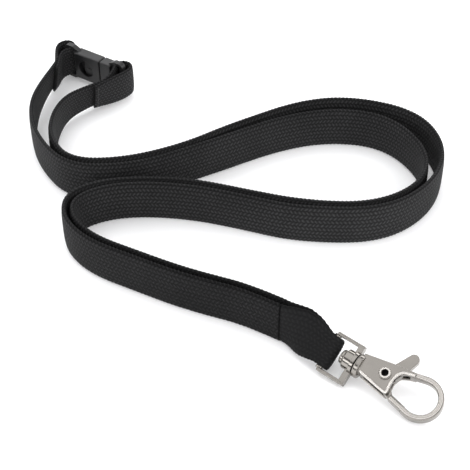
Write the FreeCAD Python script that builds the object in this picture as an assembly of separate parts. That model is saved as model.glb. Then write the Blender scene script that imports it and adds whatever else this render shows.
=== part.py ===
import FreeCAD, Part
import math
import os

os.makedirs("parts", exist_ok=True)
V = FreeCAD.Vector
UP = V(0, 0, 1)

# Millimetres. +Z up, the straps stand on edge on the floor z = 0.

# Strap: a flat tubular braid standing on its edge, in two halves.
STRAP_WIDTH = 15.0
STRAP_THICK = 1.8
STRAP_EDGE_ROUND = 0.6
ARC_SHARE = 0.45
ROUTE_LEFT = [
    (14.0, -54.4), (5.0, -48.6), (-10.0, -43.2), (-27.0, -35.4), (-43.6, -26.7),
    (-52.9, -15.1), (-52.4, -3.4), (-38.0, 3.0), (-17.0, 3.2), (3.0, -2.4),
    (23.5, -9.2), (46.5, -9.2), (61.5, 1.6), (65.0, 19.1), (54.0, 36.9),
    (34.0, 41.2), (13.0, 34.1), (-11.0, 20.5), (-33.0, 9.9), (-53.5, 9.2),
    (-66.0, 25.6), (-70.1, 41.6), (-69.9, 59.6), (-65.9, 73.0),
]
ROUTE_RIGHT = [
    (15.6, -52.5), (6.6, -46.8), (-9.0, -41.0), (-26.0, -33.3), (-41.8, -25.0),
    (-50.1, -15.0), (-49.9, -5.7), (-37.3, 0.2), (-17.4, 0.4), (2.3, -5.2),
    (23.0, -12.2), (47.0, -12.0), (63.5, -0.6), (71.5, 19.6), (65.0, 38.6),
    (43.0, 48.1), (22.0, 44.6), (0.0, 31.9), (-17.5, 20.4), (-34.5, 13.0),
    (-53.5, 12.6), (-61.5, 25.6), (-61.9, 38.5), (-60.2, 49.0), (-55.6, 56.0),
    (-48.2, 61.4),
]

# Folded ends at the safety clip.
FOLD_THICK = 1.4
FOLD_EDGE_ROUND = 0.5
FOLD_LOOSE = 0.5
FOLD_BAR_WIDTH = 10.8
FOLD_MID_Z = 7.0
FOLD_SEAM_LOW = 1.2
FOLD_SEAM_HIGH = 12.8
STUB_LENGTH = 3.5
BUTT_GAP = 0.3
TAIL_LENGTH = 3.0

# Folded end at the swivel hook.
WRAP_THICK = 1.3
WRAP_SPREAD = 1.15
WRAP_HEADING = -33.0
WRAP_SHAPE = [(0.04, 15.0, 7.52), (0.35, 14.4, 7.6), (0.62, 12.8, 7.1), (0.87, 9.4, 5.5),
              (1.0, 9.6, 4.93)]

# Stitching thread.
THREAD_R = 0.2
STITCH_COUNT = 8

# Safety clip: x runs from the left bar to the right bar, z up.
CLIP_LEFT = V(-61.7, 83.6, 7.0)
CLIP_ANGLE = -33.1
CLIP_SPAN = 25.6
CLIP_HALF_THICK = 2.2
CLIP_HALF_HEIGHT = 5.4
CLIP_FRAME_HALF = 6.8
CLIP_ARM_THICK = 1.1
CLIP_ARM_HALF_THICK = 1.0
CLIP_ARM_BEND = 2.1
CLIP_ARM_DROP = 1.2
CLIP_ARM_CORNER = 1.2
CLIP_ARM_FLAT = 2.0
CLIP_BAR_R = 1.1
SOCKET_START = 4.7
PARTING = 16.3
PARTING_GAP = 0.3
PLUG_END = 21.4
CAVITY_START = 7.2
CAVITY_HALF = (1.5, 4.0)
TONGUE_START = 8.4
TONGUE_HALF = (1.15, 3.65)
WINDOW_X = 9.9
WINDOW_R = 3.3
TONGUE_MARK = (0.35, 0.3, 1.6)
CLIP_EDGE = 0.45

# Swivel hook: u from the strap bar to the ring's tip, v across, w off its face.
HOOK_ORIGIN = V(27.7, -62.4, 5.46)
HOOK_HEADING = -38.0
HOOK_PITCH = 3.4
LOOP_LEAN = 56.0
BODY_LEAN = 68.0
BAR_R = 1.1
BAR_PLACE = (0.6, -0.9)
RAIL_INNER = 5.3
RAIL_OUTER = 6.4
RAIL_HALF = 1.2
GROOVE_DEPTH = 0.35
GROOVE_HALF = 0.4
FACE_GROOVE_DEPTH = 0.3
FACE_GROOVE_HALF = 0.2
RAIL_START = 0.3
RAIL_END = 9.4
CROSS_START = 7.6
BARREL_START = 5.9
BARREL_END = 9.4
BARREL_R = 3.0
BARREL_RIM_R = 3.5
BARREL_RIM_START = 8.4
POST_R = 1.3
POST_CLEAR = 0.05
HEAD_R = 2.2
HEAD_START = 4.5
HEAD_END = 5.6
POST_END = 12.4
FLANGE_START = 9.7
FLANGE_END = 11.3
FLANGE_R = 3.55
BODY_HALF = 2.2
SLOT_HALF = 1.2
SLOT_START = 13.2
SLOT_END = 24.3
PIVOT = (18.2, 1.5)
RIVET_R = 1.4
RIVET_HOLE_R = 1.0
RIVET_HEAD_R = 1.85
RIVET_HEAD_THICK = 0.4
RING_CENTRE = (29.9, 0.9)
RING_R = 5.7
RING_START = (19.5, 4.3)
NOSE = (27.0, -4.32)
RING_HALF_WIDE = 0.85
RING_HALF_TALL = 1.4
RING_EDGE = 0.45
GATE_HALF = 0.9
GATE_REACH = 10.9
GATE_TIP_GAP = 0.3
HUB_R = 2.9
POCKET_R = 3.1
POCKET_FLOOR = -0.1
SPRING_WIRE_R = 0.16
SPRING_COIL_R = 1.75
SPRING_PITCH = 0.36
SPRING_LEG = 2.2


def save(name, shape):
    print(name, "solids", len(shape.Solids), "volume", round(shape.Volume, 1), shape.isValid())
    shape.exportStep("parts/" + name + ".step")


def box(x0, x1, y0, y1, z0, z1):
    return Part.makeBox(x1 - x0, y1 - y0, z1 - z0, V(x0, y0, z0))


def rounded_box(x0, x1, y0, y1, z0, z1, radius):
    solid = box(x0, x1, y0, y1, z0, z1)
    return solid.makeFillet(radius, solid.Edges)


def rod(radius, start, end):
    return Part.makeCylinder(radius, (end - start).Length, start, end - start)


def plate(points, low, high):
    face = Part.Face(Part.makePolygon([V(x, y, low) for x, y in points + points[:1]]))
    return face.extrude(V(0, 0, high - low))


def unit(angle):
    return V(math.cos(math.radians(angle)), math.sin(math.radians(angle)), 0)


def route_wire(points, name):
    """Straight runs joined by tangent arcs, at half the strap's width."""
    corners = [V(x, y, STRAP_WIDTH / 2) for x, y in points]
    edges = []
    radii = []
    last = corners[0]
    for before, corner, after in zip(corners, corners[1:], corners[2:]):
        back = before - corner
        ahead = after - corner
        reach = ARC_SHARE * min(back.Length, ahead.Length)
        half_turn = (math.pi - back.getAngle(ahead)) / 2
        radius = reach / math.tan(half_turn)
        radii.append(round(radius, 1))
        back.normalize()
        ahead.normalize()
        inward = (back + ahead).normalize()
        start = corner + back * reach
        end = corner + ahead * reach
        middle = corner + inward * (radius / math.cos(half_turn) - radius)
        edges.append(Part.LineSegment(last, start).toShape())
        edges.append(Part.Arc(start, middle, end).toShape())
        last = end
    edges.append(Part.LineSegment(last, corners[-1]).toShape())
    wire = Part.Wire(edges)
    print(name, "length", round(wire.Length, 1), "radii", radii)
    return wire


def sweep(section, wire):
    pipe = Part.BRepOffsetAPI.MakePipeShell(wire)
    pipe.setBiNormalMode(UP)
    pipe.add(section)
    pipe.build()
    pipe.makeSolid()
    return pipe.shape()


def rounded_section(centre, wide, tall, half_wide, half_tall, radius):
    """A rounded rectangle about centre, in the plane of the two unit directions."""
    def at(x, y):
        return centre + wide * x + tall * y

    inset = radius * (1 - math.sqrt(0.5))
    edges = []
    last = at(radius - half_wide, half_tall)
    for sx, sy in ((1, 1), (1, -1), (-1, -1), (-1, 1)):
        on_flat = at(sx * (half_wide - radius), sy * half_tall)
        on_side = at(sx * half_wide, sy * (half_tall - radius))
        first, second = (on_flat, on_side) if sx == sy else (on_side, on_flat)
        middle = at(sx * (half_wide - inset), sy * (half_tall - inset))
        edges.append(Part.LineSegment(last, first).toShape())
        edges.append(Part.Arc(first, middle, second).toShape())
        last = second
    return Part.Wire(edges)


def upright_section(foot, heading, thick, radius):
    """The strap's section on edge, across the heading, standing on the floor at foot."""
    side = UP.cross(heading).normalize()
    centre = V(foot.x, foot.y, STRAP_WIDTH / 2)
    return rounded_section(centre, side, UP, thick / 2, STRAP_WIDTH / 2, radius)


def strap_end(points):
    """The last point of a route and the direction it leaves in."""
    last = V(*points[-1], 0)
    heading = last - V(*points[-2], 0)
    return last, heading.normalize()


def strap(points, name):
    end, heading = strap_end(points)
    stop = end - heading * (STUB_LENGTH + BUTT_GAP)
    wire = route_wire(points[:-1] + [(stop.x, stop.y)], name)
    start = wire.Edges[0].Vertexes[0].Point
    first = wire.Edges[0].Vertexes[1].Point - start
    section = upright_section(start, first, STRAP_THICK, STRAP_EDGE_ROUND)
    solid = sweep(section, wire)
    expected = wire.Length * Part.Face(section).Area
    print(name, "volume against section x length", round(solid.Volume / expected, 4))
    return solid


def tangent_point(point, centre, radius, side):
    """Where the line from point passes centre at radius, on its left (+1) or right (-1)."""
    away = centre - point
    lean = math.degrees(math.atan2(away.y, away.x)) + side * math.degrees(
        math.asin(radius / away.Length))
    return point + unit(lean) * math.sqrt(away.Length ** 2 - radius ** 2)


def upright_bar(start, heading, length, thick):
    section = upright_section(start, heading, thick, FOLD_EDGE_ROUND)
    return Part.Face(section).extrude(heading * length)


def fold(points, bar):
    """The strap's end: out past the bar on its left, round it and back to a sewn tail."""
    end, heading = strap_end(points)
    start = end - heading * 0.3
    right = V(heading.y, -heading.x, 0)
    beside = STRAP_THICK / 2 + FOLD_THICK / 2 + 0.05
    turn_in = end + right * beside
    radius = CLIP_BAR_R + FOLD_LOOSE + FOLD_THICK / 2
    centre = V(bar.x, bar.y, 0)
    left_touch = tangent_point(start, centre, radius, 1)
    right_touch = tangent_point(turn_in, centre, radius, -1)
    far = centre + (centre - end).normalize() * radius
    edges = [
        Part.LineSegment(start, left_touch).toShape(),
        Part.Arc(left_touch, far, right_touch).toShape(),
        Part.LineSegment(right_touch, turn_in).toShape(),
    ]
    section = upright_section(start, left_touch - start, FOLD_THICK, FOLD_EDGE_ROUND)
    band = sweep(section, Part.Wire(edges))
    stub = upright_bar(end - heading * STUB_LENGTH, heading, STUB_LENGTH, STRAP_THICK)
    flap = upright_bar(turn_in - heading * TAIL_LENGTH, heading, TAIL_LENGTH + 0.3, FOLD_THICK)
    return stub.multiFuse([flap, band]).removeSplitter().common(taper(end, centre))


def taper(end, centre):
    """The fabric narrows from full width at the seam to the clip's inner width at the bar."""
    along = centre - end
    reach = along.Length
    along.normalize()
    side = V(along.y, -along.x, 0)
    high = FOLD_MID_Z + FOLD_BAR_WIDTH / 2
    low = FOLD_MID_Z - FOLD_BAR_WIDTH / 2
    outline = [(-9, 0), (-9, STRAP_WIDTH), (-STUB_LENGTH, STRAP_WIDTH), (0, FOLD_SEAM_HIGH),
               (reach - 4, high), (reach + 6, high), (reach + 6, low), (reach - 4, low),
               (0, FOLD_SEAM_LOW), (-STUB_LENGTH, 0), (-9, 0)]
    foot = V(end.x, end.y, 0) - side * 12
    corners = [foot + along * s + UP * z for s, z in outline]
    return Part.Face(Part.makePolygon(corners)).extrude(side * 24)


def running_stitch(low, high, near, far):
    """One thread in and out of the fabric from z = low to z = high, near face to far face."""
    step = (high - low) / STITCH_COUNT
    path = []
    for k in range(STITCH_COUNT + 1):
        side = (near, far) if k % 2 == 0 else (far, near)
        path.append(side[0] + UP * (low + step * k))
        path.append(side[1] + UP * (low + step * k))
    pieces = [Part.makeSphere(THREAD_R, p) for p in path]
    pieces += [rod(THREAD_R, a, b) for a, b in zip(path, path[1:])]
    return pieces[0].multiFuse(pieces[1:])


def seam_at_clip(points):
    end, heading = strap_end(points)
    right = V(heading.y, -heading.x, 0)
    place = end - heading * 1.5
    near = place + right * (STRAP_THICK / 2 + 0.05 + FOLD_THICK + THREAD_R)
    far = place - right * (STRAP_THICK / 2 + THREAD_R)
    return running_stitch(1.5, STRAP_WIDTH - 1.5, near, far)


def seam_at_hook():
    left = V(*ROUTE_LEFT[0], 0)
    right = V(*ROUTE_RIGHT[0], 0)
    heading = (left - V(*ROUTE_LEFT[1], 0)).normalize()
    across = V(heading.y, -heading.x, 0)
    reach = STRAP_THICK / 2 + THREAD_R
    near = left + across * reach - heading
    width = (left - right).dot(across) + 2 * reach
    return running_stitch(1.5, STRAP_WIDTH - 1.5, near, near - across * width)


def hook_frame(lean):
    """The hook's placement: lean 0 stands on edge, 90 lies flat."""
    turn = FreeCAD.Rotation(UP, HOOK_HEADING)
    turn = turn.multiply(FreeCAD.Rotation(V(0, 1, 0), HOOK_PITCH))
    turn = turn.multiply(FreeCAD.Rotation(V(1, 0, 0), 90 - lean))
    return FreeCAD.Placement(HOOK_ORIGIN, turn)


def placed(shape, lean):
    result = shape.copy()
    result.Placement = hook_frame(lean).multiply(result.Placement)
    return result


def leaning_section(centre, heading, lean, width, thick):
    n1 = V(-heading.y, heading.x, 0)
    s = math.sin(math.radians(lean))
    c = math.cos(math.radians(lean))
    across = (n1 * s + UP * c) * (width / 2)
    off = (UP * s - n1 * c) * (thick / 2)
    return Part.makePolygon([centre - across - off, centre + across - off,
                             centre + across + off, centre - across + off,
                             centre - across - off])


def wrap_layer(side):
    """One layer from the seam to the bar, turning from on edge to the loop's lean."""
    left = V(*ROUTE_LEFT[0], STRAP_WIDTH / 2)
    right = V(*ROUTE_RIGHT[0], STRAP_WIDTH / 2)
    seam = (left + right) * 0.5
    bar = hook_frame(LOOP_LEAN).multVec(V(*BAR_PLACE, 0))
    sections = []
    for share, width, height in WRAP_SHAPE:
        ease = share * share * (3 - 2 * share)
        heading = unit(WRAP_HEADING + (HOOK_HEADING - WRAP_HEADING) * ease)
        lean = LOOP_LEAN * ease
        n1 = V(-heading.y, heading.x, 0)
        off = UP * math.sin(math.radians(lean)) - n1 * math.cos(math.radians(lean))
        spread = WRAP_SPREAD + (BAR_R + 0.15 + WRAP_THICK / 2 - WRAP_SPREAD) * share
        centre = seam + (bar - seam) * share
        centre.z = height
        sections.append(leaning_section(centre + off * (side * spread), heading, lean,
                                        width, WRAP_THICK))
    return Part.makeLoft(sections, True, True)


def hook_wrap():
    inner = BAR_R + 0.15
    half = WRAP_SHAPE[-1][1] / 2
    face = Part.Face(Part.makePolygon([V(0, -half, inner), V(0, half, inner),
                                       V(0, half, inner + WRAP_THICK),
                                       V(0, -half, inner + WRAP_THICK), V(0, -half, inner)]))
    turn = face.revolve(V(0, 0, 0), V(0, 1, 0), 180)
    turn.translate(V(*BAR_PLACE, 0))
    turn = placed(turn, LOOP_LEAN)
    return wrap_layer(1).multiFuse([wrap_layer(-1), turn])


def strap_loop():
    place, middle = BAR_PLACE
    low = middle - RAIL_INNER - 0.3
    high = middle + RAIL_INNER + 0.3
    bar = rod(BAR_R, V(place, low, 0), V(place, high, 0))
    cross = box(CROSS_START, RAIL_END, low, high, -RAIL_HALF, RAIL_HALF)
    barrel = rod(BARREL_R, V(BARREL_START, 0, 0), V(BARREL_END, 0, 0))
    rim = rod(BARREL_RIM_R, V(BARREL_RIM_START, 0, 0), V(BARREL_END, 0, 0))
    pieces = [cross, barrel.makeFillet(0.3, [e for e in barrel.Edges if e.Closed]), rim]
    for side in (-1, 1):
        low, high = sorted((middle + side * RAIL_INNER, middle + side * RAIL_OUTER))
        rail = rounded_box(RAIL_START, RAIL_END, low, high, -RAIL_HALF, RAIL_HALF, 0.3)
        outer = middle + side * RAIL_OUTER
        low, high = sorted((outer, outer - side * GROOVE_DEPTH))
        start, end = RAIL_START - 1, RAIL_END + 1
        cuts = [box(start, end, low, high, -GROOVE_HALF, GROOVE_HALF)]
        centre = middle + side * (RAIL_INNER + RAIL_OUTER) / 2
        for level in (-RAIL_HALF, RAIL_HALF - FACE_GROOVE_DEPTH):
            cuts.append(box(start, end, centre - FACE_GROOVE_HALF, centre + FACE_GROOVE_HALF,
                            level, level + FACE_GROOVE_DEPTH))
        pieces.append(rail.cut(cuts))
    solid = bar.multiFuse(pieces)
    bore = rod(POST_R + POST_CLEAR, V(BARREL_START - 1, 0, 0), V(BARREL_END + 1, 0, 0))
    return solid.cut(bore).removeSplitter()


def swivel_post():
    head = rod(HEAD_R, V(HEAD_START, 0, 0), V(HEAD_END, 0, 0))
    rim = [e for e in head.Edges if e.Closed and abs(e.CenterOfMass.x - HEAD_START) < 0.01]
    shaft = rod(POST_R, V(HEAD_END - 0.2, 0, 0), V(POST_END, 0, 0))
    return head.makeFillet(0.6, rim).fuse(shaft)


def ring_wire():
    """Leg from the body, round the ring and back along the gate's line to the nose."""
    start = V(*RING_START, 0)
    centre = V(*RING_CENTRE, 0)
    touch = tangent_point(start, centre, RING_R, 1)
    nose = V(*NOSE, 0)
    leave = tangent_point(nose, centre, RING_R, -1)
    far = centre + V(RING_R, 0, 0)
    return Part.Wire([Part.LineSegment(start, touch).toShape(),
                      Part.Arc(touch, far, leave).toShape(),
                      Part.LineSegment(leave, nose).toShape()])


def bar_section(start, heading):
    """A rounded bar section: wide in the hook's plane, taller off it."""
    side = UP.cross(heading).normalize()
    return rounded_section(start, side, UP, RING_HALF_WIDE, RING_HALF_TALL, RING_EDGE)


def hook_ring():
    wire = ring_wire()
    start = wire.Edges[0].Vertexes[0].Point
    heading = wire.Edges[0].Vertexes[1].Point - start
    return sweep(bar_section(start, heading), wire)


def hook_cheeks():
    low, high = -BODY_HALF, BODY_HALF
    outline = [(10.4, -1.5), (12.0, -2.0), (21.3, -3.6), (22.0, -2.8), (21.5, -1.0), (21.2, 1.3),
               (21.9, 3.4), (24.0, 4.5), (25.8, 5.1), (25.8, 6.2), (19.6, 5.3), (12.0, 3.8),
               (10.4, 3.5)]
    solid = plate(outline, low, high)
    edges = [e for e in solid.Edges if abs(e.tangentAt(e.FirstParameter).z) > 0.9
             and e.CenterOfMass.x > 12]
    return solid.makeFillet(0.35, edges)


def hook_body():
    flange = rod(FLANGE_R, V(FLANGE_START, 0, 0), V(FLANGE_END, 0, 0))
    flange = flange.makeFillet(0.35, [e for e in flange.Edges if e.Closed])
    slot = box(SLOT_START, SLOT_END, -9, 9, -SLOT_HALF, SLOT_HALF)
    pivot_hole = rod(RIVET_R, V(*PIVOT, -9), V(*PIVOT, 9))
    post_hole = rod(POST_R, V(FLANGE_START - 1, 0, 0), V(POST_END, 0, 0))
    reach = GATE_REACH + GATE_TIP_GAP
    sweep_room = rod(reach, V(*PIVOT, -3), V(*PIVOT, 3)).common(box(22, 40, -9, -1.4, -3, 3))
    ring = hook_ring().cut(sweep_room)
    solid = flange.multiFuse([hook_cheeks(), ring])
    return solid.cut(slot).cut(pivot_hole).cut(post_hole).removeSplitter()


def gate():
    """Thumb lever: hub on the rivet, tab on one side, the ring's closing arm on the other."""
    hub = rod(HUB_R, V(*PIVOT, -GATE_HALF), V(*PIVOT, GATE_HALF))
    tab = plate([(16.8, 3.7), (18.9, 5.6), (21.0, 10.1), (23.9, 9.0), (22.8, 4.9), (20.9, 0.5)],
                -GATE_HALF, GATE_HALF)
    tip = rod(1.55, V(22.45, 9.55, -GATE_HALF), V(22.45, 9.55, GATE_HALF))
    inner = plate([(16.9, -0.9), (20.6, -3.3), (22.9, -4.0), (23.1, -2.6), (20.6, 0.2)],
                  -GATE_HALF, GATE_HALF)
    start = V(22.7, -3.32, 0)
    end = V(30.0, -4.82, 0)
    arm = sweep(bar_section(start, end - start), Part.Wire([Part.LineSegment(start, end).toShape()]))
    arm = arm.common(rod(GATE_REACH, V(*PIVOT, -3), V(*PIVOT, 3)))
    solid = hub.multiFuse([tab, tip, inner, arm]).removeSplitter()
    bore = rod(RIVET_R + 0.05, V(*PIVOT, -5), V(*PIVOT, 5))
    pocket = rod(POCKET_R, V(*PIVOT, POCKET_FLOOR), V(*PIVOT, 5))
    return solid.cut(bore).cut(pocket)


def gate_spring():
    """Torsion spring: two coils round the rivet beside the hub, with two short legs."""
    helix = Part.makeHelix(SPRING_PITCH, 2 * SPRING_PITCH, SPRING_COIL_R)
    start = V(SPRING_COIL_R, 0, 0)
    circle = Part.Wire(Part.makeCircle(SPRING_WIRE_R, start, V(0, 1, 0)))
    pipe = Part.BRepOffsetAPI.MakePipeShell(helix)
    pipe.setFrenetMode(True)
    pipe.add(circle)
    pipe.build()
    pipe.makeSolid()
    pieces = [pipe.shape()]
    for level, way in ((0, -1), (2, 1)):
        foot = start + UP * (level * SPRING_PITCH)
        tip = foot + V(0, way * SPRING_LEG, 0)
        pieces += [rod(SPRING_WIRE_R, foot, tip), Part.makeSphere(SPRING_WIRE_R, foot)]
    solid = pieces[0].multiFuse(pieces[1:])
    base = POCKET_FLOOR + 0.15 + SPRING_WIRE_R
    solid.Placement = FreeCAD.Placement(V(*PIVOT, base), FreeCAD.Rotation(UP, 120))
    return solid


def pivot_rivet():
    shank = rod(RIVET_R, V(*PIVOT, -BODY_HALF), V(*PIVOT, BODY_HALF))
    solid = shank
    for low in (-BODY_HALF - RIVET_HEAD_THICK, BODY_HALF):
        head = rod(RIVET_HEAD_R, V(*PIVOT, low), V(*PIVOT, low + RIVET_HEAD_THICK))
        solid = solid.fuse(head)
    return solid.cut(rod(RIVET_HOLE_R, V(*PIVOT, -9), V(*PIVOT, 9))).removeSplitter()


def clip_frame():
    return FreeCAD.Placement(CLIP_LEFT, FreeCAD.Rotation(UP, CLIP_ANGLE))


def clip_placed(shape):
    result = shape.copy()
    result.Placement = clip_frame().multiply(result.Placement)
    return result


def clip_arm(bar_x, box_x):
    """One arm's plate: rounded over the bar, then straight down to the box."""
    direction = 1 if box_x > bar_x else -1
    half = CLIP_FRAME_HALF
    bend = half - CLIP_ARM_BEND

    def at(along, up):
        return V(bar_x + direction * along, 0, up)

    def quarter(radius):
        part = radius * math.sqrt(0.5)
        return (at(CLIP_ARM_CORNER - radius, bend), at(CLIP_ARM_CORNER - part, bend + part),
                at(CLIP_ARM_CORNER, bend + radius))

    far = abs(box_x - bar_x) + CLIP_ARM_CORNER
    turn_end = CLIP_ARM_CORNER + CLIP_ARM_FLAT
    shoulder = at(turn_end, half), at(turn_end, half - CLIP_ARM_THICK)
    low = half - CLIP_ARM_DROP
    root = at(far, low), at(far, low - CLIP_ARM_THICK)
    outer = quarter(CLIP_ARM_BEND)
    inner = quarter(CLIP_ARM_BEND - CLIP_ARM_THICK)
    edges = [
        Part.Arc(*outer).toShape(),
        Part.LineSegment(outer[2], shoulder[0]).toShape(),
        Part.LineSegment(shoulder[0], root[0]).toShape(),
        Part.LineSegment(root[0], root[1]).toShape(),
        Part.LineSegment(root[1], shoulder[1]).toShape(),
        Part.LineSegment(shoulder[1], inner[2]).toShape(),
        Part.Arc(inner[2], inner[1], inner[0]).toShape(),
        Part.LineSegment(inner[0], outer[0]).toShape(),
    ]
    face = Part.Face(Part.Wire(edges))
    face.translate(V(0, -CLIP_ARM_HALF_THICK, 0))
    return face.extrude(V(0, 2 * CLIP_ARM_HALF_THICK, 0))


def clip_loop(bar_x, box_x):
    """The slotted loop that holds the folded strap: a bar between two curved arms."""
    direction = 1 if box_x > bar_x else -1
    half = CLIP_FRAME_HALF
    top = clip_arm(bar_x, box_x)
    bottom = top.mirror(V(0, 0, 0), UP)
    x0, x1 = sorted((box_x - direction * 0.7, box_x + direction * 1.2))
    web = box(x0, x1, -CLIP_ARM_HALF_THICK, CLIP_ARM_HALF_THICK, -half + 1.4, half - 1.4)
    bar = rod(CLIP_BAR_R, V(bar_x, 0, -half + 1.9), V(bar_x, 0, half - 1.9))
    return bar.multiFuse([top, bottom, web])


def clip_socket():
    shell = rounded_box(SOCKET_START, PARTING - PARTING_GAP / 2, -CLIP_HALF_THICK, CLIP_HALF_THICK,
                        -CLIP_HALF_HEIGHT, CLIP_HALF_HEIGHT, CLIP_EDGE)
    cavity = box(CAVITY_START, PARTING + 1, -CAVITY_HALF[0], CAVITY_HALF[0],
                 -CAVITY_HALF[1], CAVITY_HALF[1])
    window = rod(WINDOW_R, V(WINDOW_X, -5, 0), V(WINDOW_X, 0, 0))
    solid = shell.fuse(clip_loop(0, SOCKET_START))
    return solid.cut(cavity).cut(window).removeSplitter()


def clip_plug():
    head = rounded_box(PARTING + PARTING_GAP / 2, PLUG_END, -CLIP_HALF_THICK, CLIP_HALF_THICK,
                       -CLIP_HALF_HEIGHT, CLIP_HALF_HEIGHT, CLIP_EDGE)
    tongue = box(TONGUE_START, PARTING + 1.5, -TONGUE_HALF[0], TONGUE_HALF[0],
                 -TONGUE_HALF[1], TONGUE_HALF[1])
    corners = [e for e in tongue.Edges if abs(e.CenterOfMass.x - TONGUE_START) < 0.01
               and abs(e.tangentAt(e.FirstParameter).y) > 0.9]
    tongue = tongue.makeFillet(2.6, corners)
    depth, height, length = TONGUE_MARK
    mark = box(WINDOW_X + 0.2, WINDOW_X + 0.2 + length, -TONGUE_HALF[0] - 1,
               -TONGUE_HALF[0] + depth, -height / 2, height / 2)
    loop = clip_loop(CLIP_SPAN, PLUG_END)
    return head.multiFuse([tongue, loop]).cut(mark).removeSplitter()


def clip_point(x):
    return CLIP_LEFT + unit(CLIP_ANGLE) * x


def main():
    save("strap_left", strap(ROUTE_LEFT, "left half"))
    save("strap_right", strap(ROUTE_RIGHT, "right half"))
    save("fold_left", fold(ROUTE_LEFT, clip_point(0)))
    save("fold_right", fold(ROUTE_RIGHT, clip_point(CLIP_SPAN)))
    save("seam_left", seam_at_clip(ROUTE_LEFT))
    save("seam_right", seam_at_clip(ROUTE_RIGHT))
    save("hook_wrap", hook_wrap())
    save("seam_hook", seam_at_hook())
    save("clip_socket", clip_placed(clip_socket()))
    save("clip_plug", clip_placed(clip_plug()))
    save("strap_loop", placed(strap_loop(), LOOP_LEAN))
    save("swivel_post", placed(swivel_post(), BODY_LEAN))
    save("hook_body", placed(hook_body(), BODY_LEAN))
    save("gate", placed(gate(), BODY_LEAN))
    save("gate_spring", placed(gate_spring(), BODY_LEAN))
    save("pivot_rivet", placed(pivot_rivet(), BODY_LEAN))


main()
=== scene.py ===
import math

import bpy
from mathutils import Matrix, Vector


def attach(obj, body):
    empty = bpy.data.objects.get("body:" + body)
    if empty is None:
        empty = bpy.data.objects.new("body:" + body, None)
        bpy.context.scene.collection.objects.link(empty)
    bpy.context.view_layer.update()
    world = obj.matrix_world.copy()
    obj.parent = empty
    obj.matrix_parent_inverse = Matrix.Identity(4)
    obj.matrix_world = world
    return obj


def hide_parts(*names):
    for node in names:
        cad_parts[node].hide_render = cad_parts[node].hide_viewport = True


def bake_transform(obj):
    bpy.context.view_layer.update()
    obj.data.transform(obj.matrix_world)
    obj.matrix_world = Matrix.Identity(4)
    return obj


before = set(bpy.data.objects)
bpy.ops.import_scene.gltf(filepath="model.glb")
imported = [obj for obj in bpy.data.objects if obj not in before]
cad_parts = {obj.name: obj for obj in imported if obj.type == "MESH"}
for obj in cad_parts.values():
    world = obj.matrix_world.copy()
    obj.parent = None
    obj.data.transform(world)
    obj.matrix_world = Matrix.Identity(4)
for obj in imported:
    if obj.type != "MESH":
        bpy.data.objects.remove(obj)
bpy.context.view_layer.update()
MM = 0.001
UP = Vector((0, 0, 1))

# The straps' routes, in metres, as the CAD model has them.
ROUTE_LEFT = [
    (0.014, -0.0544), (0.005, -0.0486), (-0.010, -0.0432), (-0.027, -0.0354), (-0.0436, -0.0267),
    (-0.0529, -0.0151), (-0.0524, -0.0034), (-0.038, 0.003), (-0.017, 0.0032), (0.003, -0.0024),
    (0.0235, -0.0092), (0.0465, -0.0092), (0.0615, 0.0016), (0.065, 0.0191), (0.054, 0.0369),
    (0.034, 0.0412), (0.013, 0.0341), (-0.011, 0.0205), (-0.033, 0.0099), (-0.0535, 0.0092),
    (-0.066, 0.0256), (-0.0701, 0.0416), (-0.0699, 0.0596), (-0.0659, 0.073),
]
ROUTE_RIGHT = [
    (0.0156, -0.0525), (0.0066, -0.0468), (-0.009, -0.041), (-0.026, -0.0333), (-0.0418, -0.025),
    (-0.0501, -0.015), (-0.0499, -0.0057), (-0.0373, 0.0002), (-0.0174, 0.0004), (0.0023, -0.0052),
    (0.023, -0.0122), (0.047, -0.012), (0.0635, -0.0006), (0.0715, 0.0196), (0.065, 0.0386),
    (0.043, 0.0481), (0.022, 0.0446), (0.0, 0.0319), (-0.0175, 0.0204), (-0.0345, 0.013),
    (-0.0535, 0.0126), (-0.0615, 0.0256), (-0.0619, 0.0385), (-0.0602, 0.049), (-0.0556, 0.056),
    (-0.0482, 0.0614),
]

# Strap
WIDTH = 0.015
THICK = 0.0018
MID_Z = WIDTH / 2
STITCH = 0.00131
STEP = STITCH / 2
EDGE_DIP = 0.028
RIBS = 9
FLAT = 0.93
RIB_HEIGHT = 0.00007
POINTS_PER_RIB = 5
EDGE_MARGIN = 0.001
SECTION_CROWN = 0.38
SECTION_SHARPNESS = 3.5
FLUTTER = [(0.00012, 83, 0.0), (0.0001, 191, 1.3)]
END_WIDTH = 0.0115
END_MID_Z = 0.0071
TAPER_LENGTH = 0.036
SPLIT_LENGTH = 0.03
LEFT_LEAN = math.radians(-11)
RIGHT_LEAN = math.radians(-13)
STITCH_R = 0.00016
STITCH_RISE = 0.00018
TAIL_STITCHES = 7
HOOK_STITCHES = 9

# Folds at the safety clip
FOLD_THICK = 0.0014
FOLD_WIDTH = 0.0115
FOLD_SWELL = 0.0006
FOLD_LIFT = 0.0004
FOLD_LEFT = [
    (-0.0659, 0.073), (-0.0652, 0.0755), (-0.0659, 0.0795), (-0.0657, 0.0835), (-0.0637, 0.0863),
    (-0.0607, 0.0865), (-0.059, 0.0841), (-0.0600, 0.0815), (-0.0630, 0.0799), (-0.0642, 0.0768),
    (-0.0643, 0.0732), (-0.0653, 0.0695),
]
FOLD_RIGHT = [
    (-0.0482, 0.0614), (-0.0458, 0.0631), (-0.0443, 0.0662), (-0.0433, 0.0690), (-0.0426, 0.0716),
    (-0.0402, 0.0727), (-0.0376, 0.0718), (-0.0368, 0.0693), (-0.0384, 0.0664), (-0.0416, 0.0636),
    (-0.0455, 0.0610), (-0.0498, 0.0582),
]

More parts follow.
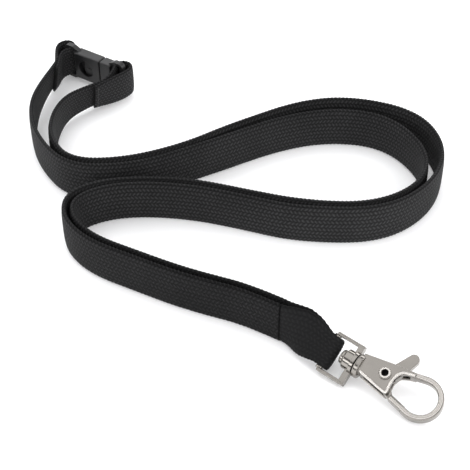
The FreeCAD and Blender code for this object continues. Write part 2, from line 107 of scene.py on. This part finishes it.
# Hook
HOOK_ORIGIN = Vector((0.0277, -0.0624, 0.00546))
HOOK_HEADING = -38.0
HOOK_PITCH = 3.4
LOOP_LEAN = 56.0
BODY_LEAN = 68.0
BAR_PLACE = Vector((0.0006, -0.0009, 0))
PIVOT = Vector((18.2, 1.5, 0))
RIVET_HOLE = 0.0011
RING_CENTRE = (29.9, 0.9)
RING_R = 5.7
CROWN_LEVEL = 0.95
CROWN_R = 0.0007
LIP_LEVEL = 2.55
LIP_R = 0.00028
LIP_CIRCLE_R = 1.3
RIM_LEVEL = 2.15
RIM_R = 0.00038
WRAP_HEADING = -33.0
WRAP_LAYER = 0.0015
WRAP_SHAPE = [(0.0, 15.0, 7.5), (0.2, 15.0, 7.6), (0.45, 14.2, 7.6), (0.65, 12.6, 7.0),
              (0.85, 10.4, 5.8), (1.0, 9.9, 4.93)]
WRAP_SPREAD = [(0.0, 1.18), (0.22, 0.85), (0.7, 0.95), (1.0, 2.0)]
WRAP_ROWS = 26
WRAP_TURN_STEPS = 12

# Camera and light
CAMERA_TARGET = Vector((0.001, -0.0084, 0.0))
CAMERA_OFFSET = Vector((0, -0.2757, 0.2482))
CAMERA_LENS = 88.1
WORLD_NADIR = (0.02, 0.02, 0.02, 1)
WORLD_ZENITH = (1.04, 1.04, 1.05, 1)
WORLD_BANDS = [(0.22, 0.03), (0.3, 2.4), (0.5, 2.4), (0.58, 0.1), (0.72, 0.1), (0.82, 0.95)]
WORLD_POWER = 1.3
KEY_POWER = 2.7
FILL_POWER = 1.8
FLOOR_HALF = 6.0
FLOOR_DROP = 0.00005


# ---------------------------------------------------------------- camera

def make_camera():
    data = bpy.data.cameras.new("camera")
    camera = bpy.data.objects.new("camera", data)
    bpy.context.collection.objects.link(camera)
    camera.location = CAMERA_TARGET + CAMERA_OFFSET
    view = CAMERA_TARGET - camera.location
    camera.rotation_euler = view.to_track_quat("-Z", "Y").to_euler()
    data.sensor_width = 36
    data.lens = CAMERA_LENS
    data.clip_start = 0.01
    data.clip_end = 20
    bpy.context.scene.camera = camera
    bpy.context.scene.view_settings.view_transform = "Standard"


# ---------------------------------------------------------------- material helpers

class Nodes:
    """Short calls for one material's node tree."""

    def __init__(self, name):
        self.material = bpy.data.materials.new(name)
        self.material.use_nodes = True
        self.tree = self.material.node_tree
        self.shader = self.tree.nodes["Principled BSDF"]

    def link(self, source, socket):
        self.tree.links.new(source, socket)

    def feed(self, socket, value):
        if isinstance(value, bpy.types.NodeSocket):
            self.link(value, socket)
        else:
            socket.default_value = value

    def math(self, kind, a, b=0.0):
        node = self.tree.nodes.new("ShaderNodeMath")
        node.operation = kind
        self.feed(node.inputs[0], a)
        self.feed(node.inputs[1], b)
        return node.outputs[0]

    def coords(self, kind):
        return self.tree.nodes.new("ShaderNodeTexCoord").outputs[kind]

    def split(self, vector):
        node = self.tree.nodes.new("ShaderNodeSeparateXYZ")
        self.link(vector, node.inputs[0])
        return node.outputs

    def noise(self, vector, scale, detail=2.0, stretch=(1, 1, 1)):
        mapping = self.tree.nodes.new("ShaderNodeMapping")
        mapping.inputs["Scale"].default_value = stretch
        self.link(vector, mapping.inputs["Vector"])
        node = self.tree.nodes.new("ShaderNodeTexNoise")
        node.inputs["Scale"].default_value = scale
        node.inputs["Detail"].default_value = detail
        self.link(mapping.outputs[0], node.inputs["Vector"])
        return node.outputs["Fac"]

    def ramp(self, value, low, high, out_low, out_high):
        node = self.tree.nodes.new("ShaderNodeMapRange")
        for name, number in (("From Min", low), ("From Max", high),
                             ("To Min", out_low), ("To Max", out_high)):
            node.inputs[name].default_value = number
        self.link(value, node.inputs["Value"])
        return node.outputs[0]

    def mix(self, factor, dark, light):
        node = self.tree.nodes.new("ShaderNodeMix")
        node.data_type = "RGBA"
        self.link(factor, node.inputs["Factor"])
        self.feed(node.inputs["A"], (*dark, 1))
        self.feed(node.inputs["B"], (*light, 1))
        return node.outputs["Result"]

    def bump(self, height, distance, strength=1.0, normal=None):
        node = self.tree.nodes.new("ShaderNodeBump")
        node.inputs["Strength"].default_value = strength
        node.inputs["Distance"].default_value = distance
        self.link(height, node.inputs["Height"])
        if normal is not None:
            self.link(normal, node.inputs["Normal"])
        return node.outputs[0]

    def bevel(self, radius):
        node = self.tree.nodes.new("ShaderNodeBevel")
        node.samples = 6
        node.inputs["Radius"].default_value = radius
        return node.outputs[0]

    def set(self, name, value):
        self.feed(self.shader.inputs[name], value)


def braid_material(name, dark, light, dash_depth, hook_run_shade_level=1.0):
    """Lengthwise ribs of slanted stitches: u counts stitches, v counts ribs."""
    m = Nodes(name)
    uv = m.split(m.coords("UV"))
    wander = m.ramp(m.noise(m.coords("UV"), 0.35, 2.0), 0.3, 0.7, -0.16, 0.16)
    rib = m.math("SUBTRACT", m.math("FRACT", uv[1]), 0.5)
    rib_form = m.math("POWER", m.math("COSINE", m.math("MULTIPLY", rib, math.pi)), 0.7)
    odd = m.math("FLOOR", m.math("FLOORED_MODULO", uv[1], 2.0))
    way = m.math("SUBTRACT", m.math("MULTIPLY", odd, 2.0), 1.0)
    slant = m.math("MULTIPLY", m.math("MULTIPLY", rib, way), 0.6)
    shift = m.math("ADD", m.math("MULTIPLY", odd, 0.5), wander)
    phase = m.math("ADD", m.math("ADD", uv[0], slant), shift)
    wave = m.math("SINE", m.math("MULTIPLY", phase, 2 * math.pi))
    stitch = m.ramp(wave, -0.4, 0.9, 0.0, 1.0)
    fibre = m.noise(m.coords("UV"), 9.0, 3.0, (1, 4, 1))
    body = m.math("MULTIPLY", rib_form, m.math("ADD", 0.3, m.math("MULTIPLY", stitch, 0.7)))
    height = m.math("ADD", body, m.math("MULTIPLY", fibre, 0.22))
    patch = m.ramp(m.noise(m.coords("Object"), 60.0, 2.0), 0.3, 0.7, 0.82, 1.15)
    # Base colour follows this value: the weave's pattern and random tone, with painted highlights
    # on the rib and stitch crests and painted shade in the rib valleys.
    weave_tone_and_painted_light = m.math("MULTIPLY", m.math("ADD", m.math("MULTIPLY", body, 0.85),
                                      m.math("MULTIPLY", fibre, 0.25)), patch)
    # Painted shade: the band's two edges face up to the sky, so their base colour is darkened by
    # 0.3 and their specular lowered with it.
    upper = m.math("COMPARE", uv[1], RIBS + 0.5)
    upper.node.inputs[2].default_value = 0.5
    edge = m.math("MAXIMUM", upper, m.math("GREATER_THAN", uv[1], 2 * RIBS + 1.0))
    edge_painted_shade = m.math("SUBTRACT", 1.0, m.math("MULTIPLY", edge, 0.3))
    # Painted shade: from the hook out to between 20 and 75 stitches the weave's tone is scaled
    # down, so that run is darker and flatter.
    hook_run_painted_shade = m.ramp(uv[0], 20, 75, hook_run_shade_level, 1.0)
    weave_tone_and_painted_light = m.math("MULTIPLY", weave_tone_and_painted_light, hook_run_painted_shade)
    m.set("Base Color", m.mix(m.math("MULTIPLY", weave_tone_and_painted_light, edge_painted_shade), dark, light))
    m.set("Roughness", 0.72)
    m.set("Specular IOR Level", m.math("MULTIPLY", edge_painted_shade, 0.13))
    m.set("Normal", m.bump(height, dash_depth))
    return m.material


def thread_material():
    m = Nodes("thread")
    grain = m.noise(m.coords("Object"), 4000.0, 2.0)
    m.set("Base Color", m.mix(grain, (0.012, 0.012, 0.012), (0.034, 0.034, 0.035)))
    m.set("Roughness", 0.6)
    m.set("Sheen Weight", 0.05)
    m.set("Normal", m.bump(grain, 0.00003))
    return m.material


def plastic_material():
    m = Nodes("clip plastic")
    grain = m.noise(m.coords("Object"), 5000.0, 2.0)
    smear = m.noise(m.coords("Object"), 180.0, 3.0)
    m.set("Base Color", m.mix(smear, (0.007, 0.007, 0.0075), (0.012, 0.012, 0.0125)))
    m.set("Roughness", m.ramp(smear, 0.3, 0.7, 0.36, 0.5))
    m.set("Specular IOR Level", 0.55)
    m.set("Normal", m.bump(grain, 0.000012, 0.6, m.bevel(0.00018)))
    return m.material


def nickel_material(name, dark, light, low_rough, high_rough, bevel, grain_depth):
    m = Nodes(name)
    place = m.coords("Object")
    brushed = m.noise(place, 900.0, 3.0, (1.0, 1.0, 5.0))
    cloud = m.noise(place, 130.0, 3.0)
    m.set("Base Color", m.mix(cloud, dark, light))
    m.set("Metallic", 1.0)
    m.set("Roughness", m.ramp(cloud, 0.3, 0.7, low_rough, high_rough))
    m.set("Normal", m.bump(brushed, grain_depth, 0.5, m.bevel(bevel)))
    return m.material


# Near-black material: painted shade inside the hollow rivet's bore.
def bore_shade_material():
    m = Nodes("painted bore shade")
    m.set("Base Color", (0.004, 0.0038, 0.0036, 1))
    m.set("Roughness", 0.8)
    m.set("Specular IOR Level", 0.1)
    return m.material


def floor_material():
    m = Nodes("floor")
    m.set("Base Color", (0.93, 0.93, 0.935, 1))
    m.set("Emission Color", (1, 1, 1, 1))
    m.set("Emission Strength", 0.1)
    m.set("Roughness", 0.6)
    m.set("Specular IOR Level", 0.2)
    return m.material


# ---------------------------------------------------------------- ribbons

def spline_points(route):
    """Points along a quadratic spline that has the route's points as its controls."""
    data = bpy.data.curves.new("route", "CURVE")
    data.dimensions = "3D"
    data.resolution_u = 16
    spline = data.splines.new("NURBS")
    spline.points.add(len(route) - 1)
    for point, (x, y) in zip(spline.points, route):
        point.co = (x, y, MID_Z, 1)
    spline.order_u = 3
    spline.use_endpoint_u = True
    obj = bpy.data.objects.new("route", data)
    bpy.context.collection.objects.link(obj)
    bpy.context.view_layer.update()
    mesh = bpy.data.meshes.new_from_object(obj)
    points = [v.co.copy() for v in mesh.vertices]
    bpy.data.objects.remove(obj)
    bpy.data.meshes.remove(mesh)
    return points


def resample(points, step):
    """Evenly spaced points along a polyline."""
    lengths = [(b - a).length for a, b in zip(points, points[1:])]
    total = sum(lengths)
    count = max(2, round(total / step))
    result = [points[0].copy()]
    index, passed = 0, 0.0
    for k in range(1, count):
        wanted = total * k / count
        while passed + lengths[index] < wanted:
            passed += lengths[index]
            index += 1
        share = (wanted - passed) / lengths[index]
        result.append(points[index].lerp(points[index + 1], share))
    result.append(points[-1].copy())
    return result


def path_length(points):
    return sum((b - a).length for a, b in zip(points, points[1:]))


def smooth_step(x):
    x = min(1.0, max(0.0, x))
    return x * x * (3 - 2 * x)


def table_value(table, share, column):
    for low, high in zip(table, table[1:]):
        if share <= high[0]:
            t = (share - low[0]) / (high[0] - low[0])
            return low[column] + (high[column] - low[column]) * t
    return table[-1][column]


def section_outline():
    """Closed outline of the braid in shares of half width and half thickness, with its v count."""
    outline = []
    for side in (1, -1):
        count = RIBS * POINTS_PER_RIB
        for k in range(count + 1):
            share = k / count
            a = side * (1 - 2 * share) * FLAT
            v = share * RIBS if side > 0 else RIBS + 1 + share * RIBS
            rib = abs(math.sin(math.pi * share * RIBS))
            dome = 1 - SECTION_CROWN * abs(a / FLAT) ** SECTION_SHARPNESS
            outline.append((a, side * dome, side * rib, v))
        for angle in (55, 90, 125):
            turn = math.radians(angle)
            a = -side * (FLAT + (1 - FLAT) * math.sin(turn))
            b = side * 0.6 * math.cos(turn)
            v = RIBS if side > 0 else 2 * RIBS + 1
            outline.append((a, b, 0.0, v + angle / 180))
    return outline


OUTLINE = section_outline()


def ribbon(name, rings, material, start_u=0.0):
    """A braid band through rings of (centre, across, normal, width, thickness)."""
    verts, faces, uvs = [], [], []
    travelled = [start_u]
    for before, after in zip(rings, rings[1:]):
        travelled.append(travelled[-1] + (after[0] - before[0]).length / STITCH)
    for k, (centre, across, normal, width, thick) in enumerate(rings):
        for a, b, rib, _ in OUTLINE:
            if abs(a) > FLAT - EDGE_MARGIN:
                a *= 1 - EDGE_DIP * (k % 2)
            offset = b * thick / 2 + rib * RIB_HEIGHT
            verts.append(centre + across * (a * width / 2) + normal * offset)
    n = len(OUTLINE)
    for r in range(len(rings) - 1):
        for k in range(n):
            j = (k + 1) % n
            faces.append((r * n + k, r * n + j, (r + 1) * n + j, (r + 1) * n + k))
            v0 = OUTLINE[k][3]
            v1 = OUTLINE[j][3] if j else v0 + 0.3
            uvs += [(travelled[r], v0), (travelled[r], v1),
                    (travelled[r + 1], v1), (travelled[r + 1], v0)]
    faces.append(tuple(range(n - 1, -1, -1)))
    uvs += [(travelled[0], OUTLINE[k][3]) for k in range(n - 1, -1, -1)]
    last = (len(rings) - 1) * n
    faces.append(tuple(range(last, last + n)))
    uvs += [(travelled[-1], OUTLINE[k][3]) for k in range(n)]
    mesh = bpy.data.meshes.new(name)
    mesh.from_pydata(verts, [], faces)
    layer = mesh.uv_layers.new(name="weave")
    flat = [x for uv in uvs for x in uv]
    layer.data.foreach_set("uv", flat)
    mesh.polygons.foreach_set("use_smooth", [True] * len(mesh.polygons))
    mesh.materials.append(material)
    mesh.validate()
    obj = bpy.data.objects.new(name, mesh)
    bpy.context.collection.objects.link(obj)
    return obj, travelled[-1]


def lean_frame(heading, lean):
    """Across and normal of a band that leans by this angle to the left of its heading."""
    side = UP.cross(heading).normalized()
    across = UP * math.cos(lean) + side * math.sin(lean)
    return across, across.cross(heading).normalized()


def headings(points):
    result = []
    for k in range(len(points)):
        a = points[max(0, k - 2)]
        b = points[min(len(points) - 1, k + 2)]
        d = b - a
        d.z = 0
        result.append(d.normalized())
    return result


def strap_rings(points, end_lean):
    """Rings along a strap. Its last stretch narrows and leans as it nears the clip."""
    total = path_length(points)
    passed = 0.0
    rings = []
    before = points[0]
    for k, (p, h) in enumerate(zip(points, headings(points))):
        passed += (p - before).length
        before = p
        near = smooth_step(1 - (total - passed) / TAPER_LENGTH)
        width = WIDTH + (END_WIDTH - WIDTH) * near
        middle = MID_Z + (END_MID_Z - MID_Z) * near
        across, normal = lean_frame(h, end_lean * near)
        flutter = sum(size * math.sin(passed * rate + start) for size, rate, start in FLUTTER)
        rings.append((Vector((p.x, p.y, middle)) + normal * flutter * (1 - near),
                      across, normal, width, THICK))
    return rings


def fold_rings(path, lean):
    """Round the clip's bar and back to the sewn tail beside the strap."""
    points = resample([Vector((p.x, p.y, END_MID_Z)) for p in spline_points(path)], STEP * 0.8)
    total = path_length(points)
    passed = 0.0
    rings = []
    before = points[0]
    for p, h in zip(points, headings(points)):
        passed += (p - before).length
        before = p
        share = passed / total
        loose = math.sin(math.pi * share)
        side = 1 if share < 0.5 else -1
        tilt = lean * side * (1 - loose)
        across, normal = lean_frame(h, tilt)
        width = FOLD_WIDTH + FOLD_SWELL * math.sin(2 * math.pi * share) ** 2
        start = smooth_step(share * 12)
        thick = THICK + (FOLD_THICK - THICK) * start
        rings.append((p + UP * (FOLD_LIFT * loose), across, normal, width, thick))
    return rings


def hook_matrix(lean):
    turn = (Matrix.Rotation(math.radians(HOOK_HEADING), 4, "Z")
            @ Matrix.Rotation(math.radians(HOOK_PITCH), 4, "Y")
            @ Matrix.Rotation(math.radians(90 - lean), 4, "X"))
    return Matrix.Translation(HOOK_ORIGIN) @ turn


def wrap_rings():
    """Both straps past the seam: to the hook's bar, round it and back, as one band."""
    left = Vector((*ROUTE_LEFT[0], MID_Z))
    right = Vector((*ROUTE_RIGHT[0], MID_Z))
    seam = (left + right) / 2
    frame_at_bar = hook_matrix(LOOP_LEAN)
    bar = frame_at_bar @ BAR_PLACE
    radius = WRAP_SPREAD[-1][1] * MM

    def layer(side):
        rows = []
        for k in range(WRAP_ROWS):
            share = k / WRAP_ROWS
            ease = smooth_step(share)
            angle = math.radians(WRAP_HEADING + (HOOK_HEADING - WRAP_HEADING) * ease)
            heading = Vector((math.cos(angle), math.sin(angle), 0))
            lean = math.radians(LOOP_LEAN) * ease
            n1 = Vector((-heading.y, heading.x, 0))
            across = n1 * math.sin(lean) + UP * math.cos(lean)
            off = UP * math.sin(lean) - n1 * math.cos(lean)
            spread = table_value(WRAP_SPREAD, share, 1) * MM
            centre = seam.lerp(bar, share)
            centre.z = table_value(WRAP_SHAPE, share, 2) * MM
            rows.append((centre + off * (side * spread), across, off * side,
                         table_value(WRAP_SHAPE, share, 1) * MM, WRAP_LAYER))
        return rows

    rings = layer(1)
    width = WRAP_SHAPE[-1][1] * MM
    spin = frame_at_bar.to_3x3()
    for k in range(WRAP_TURN_STEPS + 1):
        angle = math.radians(90 - 180 * k / WRAP_TURN_STEPS)
        out = spin @ Vector((math.cos(angle), 0, math.sin(angle)))
        across = spin @ Vector((0, 1, 0))
        rings.append((bar + out * radius, across, out, width, WRAP_LAYER))
    return rings + layer(-1)[::-1]


# ---------------------------------------------------------------- metal details

def mesh_from_curve(name, data, material):
    curve = bpy.data.objects.new(name, data)
    bpy.context.collection.objects.link(curve)
    bpy.context.view_layer.update()
    mesh = bpy.data.meshes.new_from_object(curve)
    bpy.data.objects.remove(curve)
    mesh.polygons.foreach_set("use_smooth", [True] * len(mesh.polygons))
    mesh.materials.clear()
    mesh.materials.append(material)
    obj = bpy.data.objects.new(name, mesh)
    bpy.context.collection.objects.link(obj)
    return obj


def bead(name, points, radius, material, body):
    """A thin raised rim along a line of points."""
    data = bpy.data.curves.new(name, "CURVE")
    data.dimensions = "3D"
    data.bevel_depth = radius
    data.bevel_resolution = 4
    data.use_fill_caps = True
    spline = data.splines.new("NURBS")
    spline.points.add(len(points) - 1)
    for target, p in zip(spline.points, points):
        target.co = (*p, 1)
    spline.order_u = 3
    spline.use_endpoint_u = True
    data.resolution_u = 8
    obj = mesh_from_curve(name, data, material)
    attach(obj, body)
    return obj


def round_points(centre, radius, first, last, step=15):
    count = max(1, round(abs(last - first) / step))
    angles = [math.radians(first + (last - first) * k / count) for k in range(count + 1)]
    return [(centre[0] + radius * math.cos(a), centre[1] + radius * math.sin(a)) for a in angles]


def ring_crowns(material):
    """Rounded crowns on both faces of the ring and of the gate's arm."""
    place = hook_matrix(BODY_LEAN)
    ring = [(24.6, 5.55)] + round_points(RING_CENTRE, RING_R, 103.3, -101.7) + [(27.35, -4.4)]
    arm = [(22.9, -3.45), (26.4, -4.15), (28.4, -4.5)]
    for name, line, body in (("ring_crown", ring, "hook"), ("arm_crown", arm, "lever")):
        for tag, level in (("_front", CROWN_LEVEL), ("_back", -CROWN_LEVEL)):
            points = [place @ (Vector((u, v, level)) * MM) for u, v in line]
            bead(name + tag, points, CROWN_R, material, body)


def rivet_rims(material):
    """Rolled lips round the hollow rivet's ends."""
    place = hook_matrix(BODY_LEAN)
    for name, level in (("lip_front", LIP_LEVEL), ("lip_back", -LIP_LEVEL)):
        circle = round_points(PIVOT, LIP_CIRCLE_R, 0, 360)
        points = [place @ (Vector((u, v, level)) * MM) for u, v in circle]
        bead(name, points, LIP_R, material, "hook")


def hook_rims(material):
    """Raised rims along the cheeks' edges, on both faces of the hook."""
    place = hook_matrix(BODY_LEAN)
    edge = [(11.9, -1.75), (14.0, -2.15), (17.0, -2.65), (20.6, -3.25), (21.45, -3.15),
            (21.35, -2.3), (21.05, -0.8), (20.85, 1.2), (21.5, 3.5), (22.9, 4.6), (25.6, 5.3)]
    for name, level in (("rim_front", RIM_LEVEL), ("rim_back", -RIM_LEVEL)):
        points = [place @ (Vector((u, v, level)) * MM) for u, v in edge]
        bead(name, points, RIM_R, material, "hook")


# ---------------------------------------------------------------- assembly

def paint_bore_shade(name, centre, axis, radius, material):
    """Give the faces inside a bore their own near-black material, as painted shade."""
    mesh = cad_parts[name].data
    mesh.materials.append(material)
    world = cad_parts[name].matrix_world
    for face in mesh.polygons:
        away = world @ face.center - centre
        away -= axis * away.dot(axis)
        turned = abs((world.to_3x3() @ face.normal).dot(axis))
        if away.length < radius and turned < 0.5:
            face.material_index = len(mesh.materials) - 1


def paint(nodes, material):
    for name in nodes:
        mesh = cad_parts[name].data
        mesh.materials.clear()
        mesh.materials.append(material)


def strap_piece(name, rings, material, u, body, *nodes):
    band, u = ribbon(name, rings, material, u)
    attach(band, body)
    if nodes:
        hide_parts(*nodes)
    return band, u


def make_straps(braid, fine):
    left = resample(spline_points(ROUTE_LEFT), STEP)
    right = resample(spline_points(ROUTE_RIGHT), STEP)

    rings = strap_rings(left, LEFT_LEAN)
    band, u = strap_piece("braid_left", rings, braid, 0.0, "strap", "strap_left")
    strap_piece("braid_fold_left", fold_rings(FOLD_LEFT, LEFT_LEAN), braid, u, "strap",
                "fold_left")

    rings = strap_rings(right, RIGHT_LEAN)
    split = len(rings) - round(SPLIT_LENGTH / STEP)
    band, u = strap_piece("braid_right", rings[:split + 1], braid, 0.0, "strap", "strap_right")
    tail, u = ribbon("braid_right_end", rings[split:], braid, u)
    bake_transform(tail)
    strap_piece("braid_fold_right", fold_rings(FOLD_RIGHT, RIGHT_LEAN), braid, u, "clip_half",
                "fold_right")

    strap_piece("braid_wrap", wrap_rings(), fine, 0.0, "strap", "hook_wrap")


def stitch_line(name, place, across, out, length, count, thread, body, node):
    """A row of lock stitches across the braid: short threads that dip at each end."""
    pieces = []
    pitch = length / count
    for k in range(count):
        low = place + across * (pitch * (k + 0.12) - length / 2)
        high = place + across * (pitch * (k + 0.88) - length / 2)
        middle = (low + high) / 2 + out * STITCH_RISE
        pieces.append((low - out * STITCH_RISE, middle, high - out * STITCH_RISE))
    data = bpy.data.curves.new(name, "CURVE")
    data.dimensions = "3D"
    data.bevel_depth = STITCH_R
    data.bevel_resolution = 2
    data.resolution_u = 6
    for piece in pieces:
        spline = data.splines.new("NURBS")
        spline.points.add(2)
        for target, p in zip(spline.points, piece):
            target.co = (*p, 1)
        spline.order_u = 3
        spline.use_endpoint_u = True
    obj = mesh_from_curve(name, data, thread)
    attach(obj, body)
    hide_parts(node)


def tail_seam(name, path, width, lean, thread, body, node):
    """Stitches through the sewn tail, on its outer face."""
    end = Vector((*path[-1], END_MID_Z))
    before = Vector((*path[-2], END_MID_Z))
    heading = (end - before).normalized()
    across, normal = lean_frame(heading, -lean)
    place = end - heading * 0.0012 + normal * (FOLD_THICK / 2)
    stitch_line(name, place, across, normal, width * 0.86, TAIL_STITCHES, thread, body, node)


def hook_seam(name, thread):
    """Stitches that join the two straps before the hook."""
    left = Vector((*ROUTE_LEFT[0], MID_Z))
    heading = (left - Vector((*ROUTE_LEFT[1], MID_Z))).normalized()
    side = Vector((heading.y, -heading.x, 0))
    place = left - heading * 0.001 + side * -(THICK / 2 + 0.00003)
    stitch_line(name, place, UP, -side, WIDTH * 0.9, HOOK_STITCHES, thread, "strap", "seam_hook")


def make_stage():
    mesh = bpy.data.meshes.new("floor")
    corners = [(-1, -1), (1, -1), (1, 1), (-1, 1)]
    mesh.from_pydata([(x * FLOOR_HALF, y * FLOOR_HALF, 0) for x, y in corners],
                     [], [(0, 1, 2, 3)])
    mesh.materials.append(floor_material())
    floor = bpy.data.objects.new("floor", mesh)
    floor.location.z = -FLOOR_DROP
    bpy.context.collection.objects.link(floor)


def area_light(name, place, size, power):
    """A soft light that points at the origin and isn't mirrored in the metal."""
    data = bpy.data.lights.new(name, "AREA")
    data.shape = "DISK"
    data.size = size
    data.energy = power
    light = bpy.data.objects.new(name, data)
    light.location = place
    light.visible_glossy = False
    light.rotation_euler = (-Vector(place)).to_track_quat("-Z", "Y").to_euler()
    bpy.context.collection.objects.link(light)


def make_light():
    world = bpy.data.worlds.new("studio")
    world.use_nodes = True
    tree = world.node_tree
    place = tree.nodes.new("ShaderNodeTexCoord")
    parts = tree.nodes.new("ShaderNodeSeparateXYZ")
    ramp = tree.nodes.new("ShaderNodeValToRGB")
    tree.links.new(place.outputs["Generated"], parts.inputs[0])
    tree.links.new(parts.outputs["Z"], ramp.inputs["Fac"])
    tree.links.new(ramp.outputs["Color"], tree.nodes["Background"].inputs["Color"])
    stops = ramp.color_ramp.elements
    stops[0].position, stops[0].color = 0.0, WORLD_NADIR
    stops[1].position, stops[1].color = 1.0, WORLD_ZENITH
    for position, grey in WORLD_BANDS:
        stop = stops.new(position)
        stop.color = (grey, grey, grey * 1.01, 1)
    tree.nodes["Background"].inputs["Strength"].default_value = WORLD_POWER
    bpy.context.scene.world = world
    area_light("key", (-0.2, 0.25, 0.8), size=0.7, power=KEY_POWER)
    area_light("fill", (0.5, -0.5, 0.6), size=0.6, power=FILL_POWER)


make_camera()
# The braids' light tone stands mostly for painted yarn highlight and their dark tone for painted
# shade in the weave; the braid's last argument sets the painted shade on the run nearest the hook.
braid = braid_material("braid", dark=(0.0006, 0.0006, 0.0007), light=(0.042, 0.042, 0.043),
                       dash_depth=0.0003, hook_run_shade_level=0.45)
fine = braid_material("fine braid", dark=(0.0042, 0.0042, 0.0044), light=(0.0125, 0.0125, 0.013),
                      dash_depth=0.00009)
satin = nickel_material("nickel satin", dark=(0.26, 0.245, 0.225), light=(0.34, 0.32, 0.295),
                        low_rough=0.13, high_rough=0.22, bevel=0.0005, grain_depth=0.000012)
crisp = nickel_material("nickel crisp", dark=(0.28, 0.265, 0.24), light=(0.37, 0.35, 0.325),
                        low_rough=0.11, high_rough=0.2, bevel=0.00014, grain_depth=0.000012)
# Painted highlight: a lighter copy of the nickel for the crowns along the ring and the gate's arm.
crown_highlight_nickel = nickel_material("nickel crown highlight", dark=(0.46, 0.44, 0.41), light=(0.56, 0.53, 0.5),
                         low_rough=0.08, high_rough=0.16, bevel=0.0001, grain_depth=0.000006)
# Painted highlight: a much lighter copy of the nickel for the bright lines along the hook's rims
# and the rivet's lips; its lower roughness gives a polished finish.
polished_highlight_nickel = nickel_material("nickel polished highlight", dark=(0.66, 0.63, 0.59), light=(0.78, 0.75, 0.71),
                           low_rough=0.08, high_rough=0.14, bevel=0.00025, grain_depth=0.000004)
make_straps(braid, fine)
thread = thread_material()
tail_seam("stitches_left", FOLD_LEFT, FOLD_WIDTH, LEFT_LEAN, thread, "strap", "seam_left")
tail_seam("stitches_right", FOLD_RIGHT, FOLD_WIDTH, RIGHT_LEAN, thread, "clip_half", "seam_right")
hook_seam("stitches_hook", thread)
paint(["clip_socket", "clip_plug"], plastic_material())
paint(["hook_body", "gate", "gate_spring", "pivot_rivet"], satin)
paint(["strap_loop", "swivel_post"], crisp)
bore = hook_matrix(BODY_LEAN)
paint_bore_shade("pivot_rivet", bore @ (PIVOT * MM), bore.to_3x3() @ UP, RIVET_HOLE, bore_shade_material())
# Rims and rivet lips carry the painted-highlight nickel.
hook_rims(polished_highlight_nickel)
rivet_rims(polished_highlight_nickel)
# The crowns carry the painted-highlight nickel.
ring_crowns(crown_highlight_nickel)
make_stage()
make_light()
